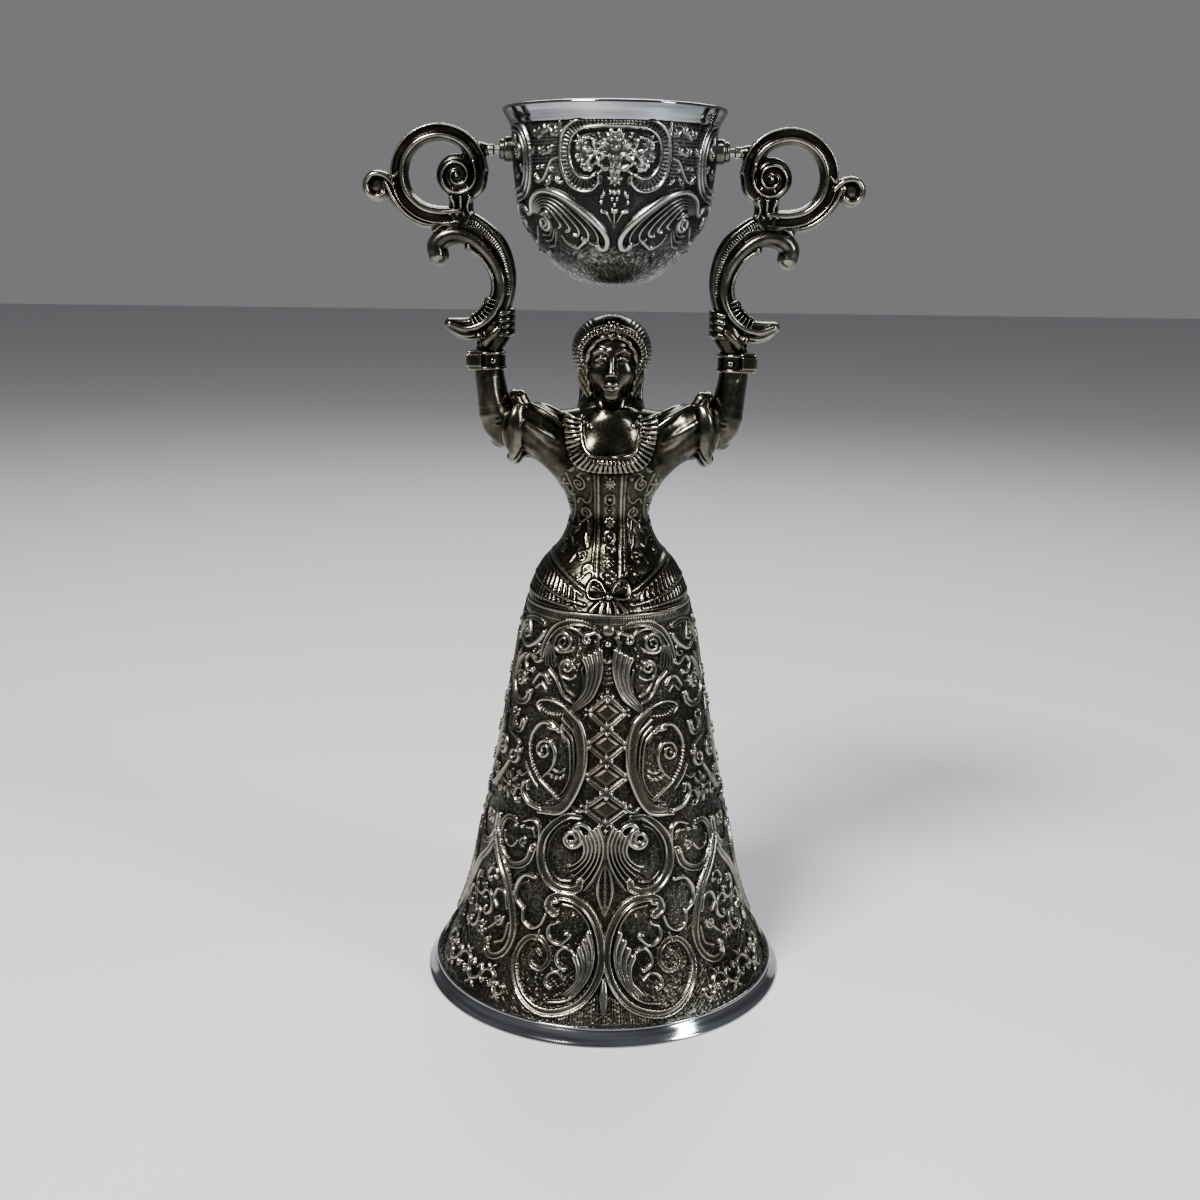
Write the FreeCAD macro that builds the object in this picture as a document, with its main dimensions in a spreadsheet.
"""Figural wedding cup: a hollow skirt that is a drinking cup when it is turned over, a bodice with
raised arms, two scroll brackets, and a small cup that swings on two pins between the scrolls.

Millimetres, +Z up, origin at the centre of the foot, -Y the figure's front.
Names that start with left_ are on -X and those that start with right_ are on +X.
"""
import FreeCAD, Part

import math
import os

from FreeCAD import Placement, Rotation, Vector

SIZES = {
    # Skirt: a straight cone with a flare below it, over a smooth drawn liner with a polished foot.
    "foot_radius": 51.5,
    "foot_height": 4.2,
    "flare_radius": 48.8,
    "flare_height": 25.0,
    "cone_radius": 39.4,
    "flare_bend": 78.0,
    "hip_radius": 22.2,
    "hip_height": 110.8,
    "skirt_wall": 1.5,
    "liner_gap": 0.25,
    "liner_wall": 0.9,
    "liner_top": 99.0,
    "liner_crown": 5.0,
    "flange_thick": 2.6,
    # Waist fastener, under the skirt's flange and up into the bodice.
    "stud_radius": 2.0,
    "stud_low": 103.0,
    "stud_high": 117.0,
    "washer_radius": 5.0,
    "washer_thick": 0.8,
    "nut_flat": 7.0,
    "nut_thick": 3.2,
    # Bodice, sleeves and head.
    "neck_height": 162.6,
    "neck_radius": 7.8,
    "sleeve_height": 156.7,
    "sleeve_start": 6.0,
    "sleeve_root": 5.7,
    "sleeve_end": 22.0,
    "sleeve_mouth": 8.1,
    "cuff_end": 27.2,
    "cuff_radius": 10.0,
    "cuff_bore": 7.2,
    "cuff_depth": 3.0,
    "socket_radius": 4.8,
    "socket_start": 17.0,
    "head_height": 177.0,
    "head_width": 10.8,
    "head_depth": 10.4,
    "head_rise": 11.0,
    "peg_radius": 2.4,
    "peg_length": 5.0,
    "seat_play": 0.05,
    # Arms and scroll brackets, given for the +X side.
    "elbow_reach": 30.0,
    "elbow_radius": 5.2,
    "forearm_lean": 8.8,
    "forearm_low": 4.6,
    "forearm_high": 3.7,
    "wrist_reach": 32.6,
    "wrist_height": 173.5,
    "wrist_radius": 4.7,
    "wrist_length": 5.6,
    "scroll_plane": 0.0,
    "stem_reach": 40.2,
    "stem_height": 198.3,
    "stem_bend": 11.2,
    "stem_tube": 2.7,
    "leaf_bend": 13.5,
    "neck_reach": 39.6,
    "loop_reach": 46.2,
    "loop_height": 223.6,
    "loop_bend": 10.2,
    "loop_tube": 2.4,
    "volute_reach": 41.0,
    "volute_bend": 3.2,
    "volute_tube": 2.1,
    "spur_reach": 42.6,
    "spur_height": 203.9,
    "spur_bend": 3.9,
    "spur_tube": 1.6,
    "thumb_reach": 63.2,
    "thumb_height": 220.2,
    "thumb_radius": 2.2,
    # Swinging cup, its bosses and its pins.
    "pivot_height": 229.5,
    "pin_radius": 1.0,
    "pin_play": 0.05,
    "pin_tip": 27.6,
    "pin_end": 39.0,
    "pin_collar": 1.5,
    "collar_start": 31.4,
    "collar_end": 35.9,
    "boss_radius": 3.4,
    "boss_nose_radius": 2.7,
    "boss_step": 1.1,
    "boss_face": 29.9,
    "boss_root": 24.0,
    "rim_height": 240.0,
    "rim_radius": 29.3,
    "throat_radius": 26.9,
    "throat_height": 235.2,
    "belly_radius": 22.2,
    "belly_height": 208.5,
    "belly_bend": 58.0,
    "bowl_radius": 13.0,
    "bowl_height": 198.4,
    "bowl_bend": 36.0,
    "bowl_bottom": 195.0,
    "base_bend": 27.0,
    "cup_wall": 1.2,
    "cup_gap": 0.2,
    "cup_liner_wall": 0.7,
}

# Bodice sections from the hips up to the neck: height, half width and half depth.
BODICE = [
    (110.8, 22.2, 22.0),
    (115.0, 21.0, 19.6),
    (120.6, 18.4, 15.8),
    (126.8, 13.2, 11.2),
    (133.6, 10.9, 9.0),
    (140.0, 12.0, 10.0),
    (147.0, 14.2, 11.6),
    (154.0, 13.6, 10.6),
    (160.0, 10.8, 8.2),
    (162.6, 8.4, 7.2),
]

doc = FreeCAD.newDocument("wedding_cup")
sheet = doc.addObject("Spreadsheet::Sheet", "Sizes")


def fill_sheet():
    for row, (alias, number) in enumerate(SIZES.items(), start=1):
        sheet.set(f"A{row}", alias)
        sheet.set(f"B{row}", str(number))
        sheet.setAlias(f"B{row}", alias)
    doc.recompute()


def terms(text):
    """The signed words of a sum such as "hip_radius - skirt_wall"."""
    return [word.strip() for word in text.replace("-", "+-").split("+") if word.strip()]


def value(text):
    """The number that a sum of aliases and numbers stands for."""
    total = 0.0
    for word in terms(text):
        sign, name = (-1.0, word[1:].strip()) if word.startswith("-") else (1.0, word)
        total += sign * (SIZES[name] if name in SIZES else float(name))
    return total


def expression(text):
    """The same sum as a FreeCAD expression that reads the sheet."""
    made = []
    for word in terms(text):
        sign, name = ("-", word[1:].strip()) if word.startswith("-") else ("+", word)
        made.append(sign + (f"Sizes.{name}" if name in SIZES else name))
    return " ".join(made)


def bind(thing, **sums):
    """Sets properties from sums of aliases, where __ in a name stands for a dot."""
    for name, text in sums.items():
        thing.setExpression(name.replace("__", "."), expression(text))
    return thing


def place(thing, x="0", y="0", z="0", turn=None):
    if turn:
        thing.Placement = Placement(Vector(), turn)
    return bind(thing, Placement__Base__x=x, Placement__Base__y=y, Placement__Base__z=z)


ALONG_X = Rotation(Vector(0, 1, 0), 90)
ALONG_Y = Rotation(Vector(1, 0, 0), 90)


def cylinder(name, radius, length, x="0", y="0", z="0", turn=None):
    made = doc.addObject("Part::Cylinder", name)
    bind(made, Radius=radius, Height=length)
    return place(made, x, y, z, turn)


def cone(name, low, high, length, x="0", y="0", z="0", turn=None):
    made = doc.addObject("Part::Cone", name)
    bind(made, Radius1=low, Radius2=high, Height=length)
    return place(made, x, y, z, turn)


def ball(name, radius, x="0", y="0", z="0"):
    made = doc.addObject("Part::Sphere", name)
    bind(made, Radius=radius)
    return place(made, x, y, z)


def ring_arc(name, bend, tube, x, z, start, sweep):
    """Part of a torus that lies in the scroll's plane. Angles run from +X towards +Z."""
    made = doc.addObject("Part::Torus", name)
    bind(made, Radius1=bend, Radius2=tube)
    made.Angle3 = sweep
    turn = ALONG_Y.multiply(Rotation(Vector(0, 0, 1), start))
    return place(made, x, "scroll_plane", z, turn)


def fuse(name, *pieces):
    made = doc.addObject("Part::MultiFuse", name)
    made.Shapes = list(pieces)
    return made


def cut(name, base, tool):
    made = doc.addObject("Part::Cut", name)
    made.Base = base
    made.Tool = tool
    return made


def mirrored(name, source):
    """The -X twin of a +X piece."""
    made = doc.addObject("Part::Mirroring", name)
    made.Source = source
    made.Normal = Vector(1, 0, 0)
    return made


def arc_between(start, end, radius, side):
    """A circle arc between two points, drawn anticlockwise, with the numbers of its ends nearest start and end.
    side is 1 for a centre left of the way from start to end, else -1."""
    chord = end - start
    rise = (radius**2 - (chord.Length / 2) ** 2) ** 0.5
    left = Vector(-chord.y, chord.x, 0).normalize()
    centre = (start + end) * 0.5 + left * (rise * side)
    first, last = (start, end) if side > 0 else (end, start)
    angles = [math.atan2(point.y - centre.y, point.x - centre.x) for point in (first, last)]
    circle = Part.Circle(centre, Vector(0, 0, 1), radius)
    return Part.ArcOfCircle(circle, *angles), (1, 2) if side > 0 else (2, 1)


def revolved(name, corners, bends):
    """A body turned about Z from an outline of corners, as (radius, height) sums. bends gives an edge, by the
    number of its first corner, a radius alias and the side that its centre is on; other edges are straight."""
    import Sketcher

    body = doc.addObject("PartDesign::Body", name)
    sketch = body.newObject("Sketcher::SketchObject", name + "_outline")
    plane = next(f for f in body.Origin.OriginFeatures if f.Role == "XZ_Plane")
    sketch.AttachmentSupport = [(plane, "")]
    sketch.MapMode = "FlatFace"
    points = [Vector(value(x), value(z), 0) for x, z in corners]
    count = len(points)
    ends = []
    for i, start in enumerate(points):
        end = points[(i + 1) % count]
        if i in bends:
            alias, side = bends[i]
            arc, arc_ends = arc_between(start, end, value(alias), side)
            sketch.addGeometry(arc, False)
            ends.append(arc_ends)
        else:
            sketch.addGeometry(Part.LineSegment(start, end), False)
            ends.append((1, 2))
    for i in range(count):
        after = (i + 1) % count
        sketch.addConstraint(Sketcher.Constraint("Coincident", i, ends[i][1], after, ends[after][0]))
    for i, (x, z) in enumerate(corners):
        for axis, text in (("DistanceX", x), ("DistanceY", z)):
            rule = Sketcher.Constraint(axis, -1, 1, i, ends[i][0], value(text))
            number = sketch.addConstraint(rule)
            sketch.setExpression(f"Constraints[{number}]", expression(text))
    for i, (alias, _) in bends.items():
        number = sketch.addConstraint(Sketcher.Constraint("Radius", i, value(alias)))
        sketch.setExpression(f"Constraints[{number}]", expression(alias))
    turned = body.newObject("PartDesign::Revolution", name + "_turned")
    turned.Profile = sketch
    turned.ReferenceAxis = (sketch, ["V_Axis"])
    turned.Angle = 360.0
    body.Tip = turned
    return body


def skirt_shell():
    """Cast relief shell: cone and flare, open at the foot, with a bored flange under the bodice."""
    return revolved(
        "skirt_shell",
        [
            ("flare_radius", "foot_height"),
            ("cone_radius", "flare_height"),
            ("hip_radius", "hip_height"),
            ("stud_radius + seat_play", "hip_height"),
            ("stud_radius + seat_play", "hip_height - flange_thick"),
            ("hip_radius - skirt_wall - 1", "hip_height - flange_thick"),
            ("cone_radius - skirt_wall", "flare_height"),
            ("flare_radius - skirt_wall - 1", "foot_height"),
        ],
        {0: ("flare_bend", -1), 6: ("flare_bend", 1)},
    )


def skirt_liner():
    """Drawn cup inside the skirt. Its lip turns out under the shell and is the polished foot."""
    return revolved(
        "skirt_liner",
        [
            ("foot_radius - 1.2", "0"),
            ("foot_radius", "0.5"),
            ("flare_radius", "foot_height"),
            ("flare_radius - skirt_wall - liner_gap - 1.2", "foot_height"),
            ("cone_radius - skirt_wall - liner_gap", "flare_height"),
            ("hip_radius + 0.2", "liner_top - liner_crown"),
            ("hip_radius - 4", "liner_top"),
            ("0", "liner_top"),
            ("0", "liner_top - liner_wall"),
            ("hip_radius - 4.5", "liner_top - liner_wall"),
            ("hip_radius + 0.2 - liner_wall", "liner_top - liner_crown - 0.5"),
            ("cone_radius - skirt_wall - liner_gap - liner_wall", "flare_height"),
            ("flare_radius - skirt_wall - liner_gap - liner_wall - 1.4", "foot_height"),
            ("foot_radius - 2.6", "0"),
        ],
        {3: ("flare_bend", -1), 11: ("flare_bend", 1)},
    )


def waist_fastener():
    """Stud screwed into the bodice, with a washer and a nut under the skirt's flange."""
    stud = cylinder("waist_stud", "stud_radius", "stud_high - stud_low", z="stud_low")
    under = "hip_height - flange_thick - washer_thick"
    disc = cylinder("washer_disc", "washer_radius", "washer_thick", z=under)
    hole = cylinder("washer_hole", "stud_radius + seat_play", "washer_thick", z=under)
    washer = cut("waist_washer", disc, hole)
    hexagon = doc.addObject("Part::Prism", "nut_hexagon")
    hexagon.Polygon = 6
    hexagon.setExpression("Circumradius", "Sizes.nut_flat / sqrt(3)")
    bind(hexagon, Height="nut_thick")
    place(hexagon, z=under + " - nut_thick")
    thread = cylinder("nut_thread", "stud_radius", "nut_thick", z=under + " - nut_thick")
    return [stud, washer, cut("waist_nut", hexagon, thread)]


def bodice_loft():
    """Loft through the bodice's oval sections."""
    rings = []
    for height, wide, deep in BODICE:
        ring = doc.addObject("Part::Ellipse", "bodice_section")
        ring.MajorRadius = wide
        ring.MinorRadius = deep
        ring.Placement = Placement(Vector(0, 0, height), Rotation())
        rings.append(ring)
    made = doc.addObject("Part::Loft", "bodice_skin")
    made.Sections = rings
    made.Solid = True
    return made


def sleeve(side):
    """Upper sleeve and hanging cuff on the +X side, or on -X with side -1."""
    turn = Rotation(Vector(0, 1, 0), 90 * side)
    sign = "" if side > 0 else "-"
    cloth = cone("sleeve_cloth", "sleeve_root", "sleeve_mouth", "sleeve_end - sleeve_start",
                 x=sign + "sleeve_start", z="sleeve_height", turn=turn)
    cuff = cone("sleeve_cuff", "sleeve_mouth", "cuff_radius", "cuff_end - sleeve_end",
                x=sign + "sleeve_end", z="sleeve_height", turn=turn)
    mouth = cylinder("cuff_mouth", "cuff_bore", "cuff_depth",
                     x=sign + "cuff_end" + (" - cuff_depth" if side > 0 else " + cuff_depth"),
                     z="sleeve_height", turn=turn)
    socket = cylinder("arm_socket", "socket_radius", "sleeve_end - socket_start + 4",
                      x=sign + "socket_start", z="sleeve_height", turn=turn)
    return [cloth, cuff], [mouth, socket]


def bodice():
    """Cast bodice with its sleeves, a threaded hole for the stud, and a socket for the head's peg."""
    solids, holes = [bodice_loft()], []
    for side in (1, -1):
        cloth, openings = sleeve(side)
        solids += cloth
        holes += openings
    holes.append(cylinder("stud_thread", "stud_radius", "stud_high - hip_height", z="hip_height"))
    holes.append(cylinder("head_socket", "peg_radius + seat_play", "peg_length + 0.5",
                          z="neck_height - peg_length - 0.5"))
    return cut("bodice", fuse("bodice_outside", *solids), fuse("bodice_holes", *holes))


def head():
    """Hooded head and neck, with the peg that seats it in the bodice."""
    skull = doc.addObject("Part::Ellipsoid", "skull")
    bind(skull, Radius1="head_rise", Radius2="head_width", Radius3="head_depth")
    place(skull, z="head_height")
    neck = cone("neck", "neck_radius", "neck_radius + 0.6", "head_height - neck_height - 4",
                z="neck_height")
    peg = cylinder("head_peg", "peg_radius", "peg_length + 1", z="neck_height - peg_length")
    return fuse("head", skull, neck, peg)


def arm():
    """Forearm of the +X side: root in the sleeve's socket, elbow, and a peg at the wrist."""
    root = cylinder("arm_root", "socket_radius - seat_play", "elbow_reach - socket_start - 1",
                    x="socket_start + 1", z="sleeve_height", turn=ALONG_X)
    elbow = ball("elbow", "elbow_radius", x="elbow_reach", z="sleeve_height")
    lean = Rotation(Vector(0, 1, 0), SIZES["forearm_lean"])
    forearm = cone("forearm", "forearm_low", "forearm_high", "wrist_height - sleeve_height",
                   x="elbow_reach", z="sleeve_height", turn=lean)
    trim = doc.addObject("Part::Box", "wrist_trim")
    bind(trim, Length="20", Width="20", Height="10")
    place(trim, x="wrist_reach - 10", y="-10", z="wrist_height - 0.3")
    cut_forearm = cut("forearm_trimmed", forearm, trim)
    peg = cylinder("wrist_peg", "peg_radius", "3.3", x="wrist_reach", z="wrist_height - 0.6")
    return fuse("right_arm", root, elbow, cut_forearm, peg)


def scroll():
    """Scroll bracket of the +X side: wrist band, hand, C-shaped stem, loop, volute and thumb rest."""
    base = "wrist_height - 0.3"
    band = cylinder("wrist_band", "wrist_radius", "wrist_length", x="wrist_reach", z=base)
    hand = doc.addObject("Part::Ellipsoid", "hand")
    bind(hand, Radius1="5.4", Radius2="4.4", Radius3="4.0")
    place(hand, x="wrist_reach - 1", z="wrist_height + 8.5")
    stem_high = ring_arc("stem_high", "stem_bend", "stem_tube", "stem_reach", "stem_height", 92, 88)
    lower = "stem_reach - stem_bend + leaf_bend"
    stem_low = ring_arc("stem_low", "leaf_bend", "stem_tube", lower, "stem_height", 180, 60)
    leaf = ring_arc("leaf", "leaf_bend", "spur_tube", lower, "stem_height", 236, 32)
    spur = ring_arc("spur", "spur_bend", "spur_tube", "spur_reach", "spur_height", -35, 170)
    neck = cylinder("scroll_neck", "stem_tube + 0.4", "10.5", x="neck_reach", z="stem_height + stem_bend - 1")
    loop = ring_arc("loop", "loop_bend", "loop_tube", "loop_reach", "loop_height", -125, 325)
    volute = ring_arc("volute", "volute_bend", "volute_tube", "volute_reach", "loop_height", 0, 360)
    thumb_lean = Rotation(Vector(0, 1, 0), 66)
    thumb = cylinder("thumb_stem", "spur_tube", "9", x="thumb_reach - 8.6", z="thumb_height - 4.6",
                     turn=thumb_lean)
    curl = cylinder("thumb_curl", "thumb_radius", "4.4", x="thumb_reach", y="2.2", z="thumb_height",
                    turn=ALONG_Y)
    solid = fuse("scroll_solid", band, hand, stem_high, stem_low, leaf, spur, neck, loop, volute, thumb, curl)
    seat = cylinder("wrist_seat", "peg_radius + seat_play", "3.4", x="wrist_reach", z=base)
    bore = cylinder("pin_bore", "pin_radius", "pin_end - 30", x="30", z="pivot_height", turn=ALONG_X)
    face = cylinder("collar_seat", "pin_collar", "collar_end - 30", x="30", z="pivot_height", turn=ALONG_X)
    return cut("right_scroll", solid, fuse("scroll_holes", seat, bore, face))


def pivot_pin():
    """Shouldered pin of the +X side: pressed in the scroll's loop, its tip runs in the cup's boss."""
    shank = cylinder("pin_shank", "pin_radius", "pin_end - pin_tip", x="pin_tip", z="pivot_height",
                     turn=ALONG_X)
    collar = cylinder("pin_shoulder", "pin_collar", "collar_end - collar_start", x="collar_start",
                      z="pivot_height", turn=ALONG_X)
    return fuse("right_pivot_pin", shank, collar)


def cup_corners(*insets):
    """The relief cup's outer curve, drawn in by the insets, from the throat down to the axis."""
    inward = "".join(" - " + inset for inset in insets)
    upward = inward.replace("-", "+")
    return [
        ("throat_radius" + inward, "throat_height"),
        ("belly_radius" + inward, "belly_height"),
        ("bowl_radius" + inward, "bowl_height" + upward),
        ("0", "bowl_bottom" + upward),
    ]


def cup_bends(first):
    """The bends of cup_corners when its first corner has this number, and of its reverse after it."""
    aliases = ("belly_bend", "bowl_bend", "base_bend")
    down = {first + i: (alias, -1) for i, alias in enumerate(aliases)}
    up = {first + 6 - i: (alias, 1) for i, alias in enumerate(aliases)}
    return {**down, **up}


def cup_shell():
    """Cast relief bowl of the swinging cup."""
    return revolved("cup_shell", cup_corners() + cup_corners("cup_wall")[::-1], cup_bends(0))


def cup_liner():
    """Drawn bowl inside the relief one, with the bright flared drinking rim."""
    rim = [
        ("rim_radius - 0.9", "rim_height"),
        ("rim_radius", "rim_height - 0.6"),
        ("throat_radius + 0.4", "throat_height + 0.9"),
        ("throat_radius", "throat_height"),
    ]
    outside = cup_corners("cup_wall", "cup_gap")
    inside = cup_corners("cup_wall", "cup_gap", "cup_liner_wall")[::-1]
    return revolved("cup_liner", rim + outside + inside, cup_bends(4))


def boss(shell_filled):
    """Bored boss soldered to the cup's side on +X, shaped to the cup's wall."""
    block = cylinder("boss_block", "boss_radius", "boss_face - boss_step - boss_root", x="boss_root",
                     z="pivot_height", turn=ALONG_X)
    step = cylinder("boss_nose", "boss_nose_radius", "boss_step + 0.5", x="boss_face - boss_step - 0.5",
                    z="pivot_height", turn=ALONG_X)
    blank = fuse("boss_blank", block, step)
    bore = cylinder("boss_bore", "pin_radius + pin_play", "boss_face - pin_tip + 0.2",
                    x="pin_tip - 0.2", z="pivot_height", turn=ALONG_X)
    return cut("right_boss", cut("boss_shaped", blank, shell_filled), bore)


def cup_envelope():
    """The relief cup as a full solid, which shapes the bosses' inner faces."""
    bends = {i: bend for i, bend in cup_bends(0).items() if i < 3}
    return revolved("cup_envelope", cup_corners() + [("0", "throat_height")], bends)


def build():
    fill_sheet()
    nodes = [skirt_shell(), skirt_liner(), bodice(), head(), cup_shell(), cup_liner()]
    nodes += waist_fastener()
    for piece in (arm(), scroll(), pivot_pin(), boss(cup_envelope())):
        nodes.append(piece)
        nodes.append(mirrored(piece.Name.replace("right", "left"), piece))
    for piece in nodes:
        piece.Label = piece.Name
    doc.recompute()
    return nodes


def check(nodes):
    for thing in doc.Objects:
        if "Invalid" in thing.State or "Error" in thing.State:
            raise RuntimeError(f"{thing.Name} failed: {thing.State}")
    for piece in nodes:
        shape = piece.Shape
        if shape.isNull() or not shape.isValid() or not shape.Solids:
            raise RuntimeError(f"{piece.Label} has no valid solid")
        box = shape.BoundBox
        print(f"{piece.Label}: {len(shape.Solids)} solid, {shape.Volume / 1000:.2f} cm3, "
              f"x {box.XMin:.1f} {box.XMax:.1f}, y {box.YMin:.1f} {box.YMax:.1f}, z {box.ZMin:.1f} {box.ZMax:.1f}")


def write(nodes):
    os.makedirs("parts", exist_ok=True)
    for piece in nodes:
        piece.Shape.exportStep(os.path.join("parts", piece.Label + ".step"))


pieces = build()
check(pieces)
write(pieces)
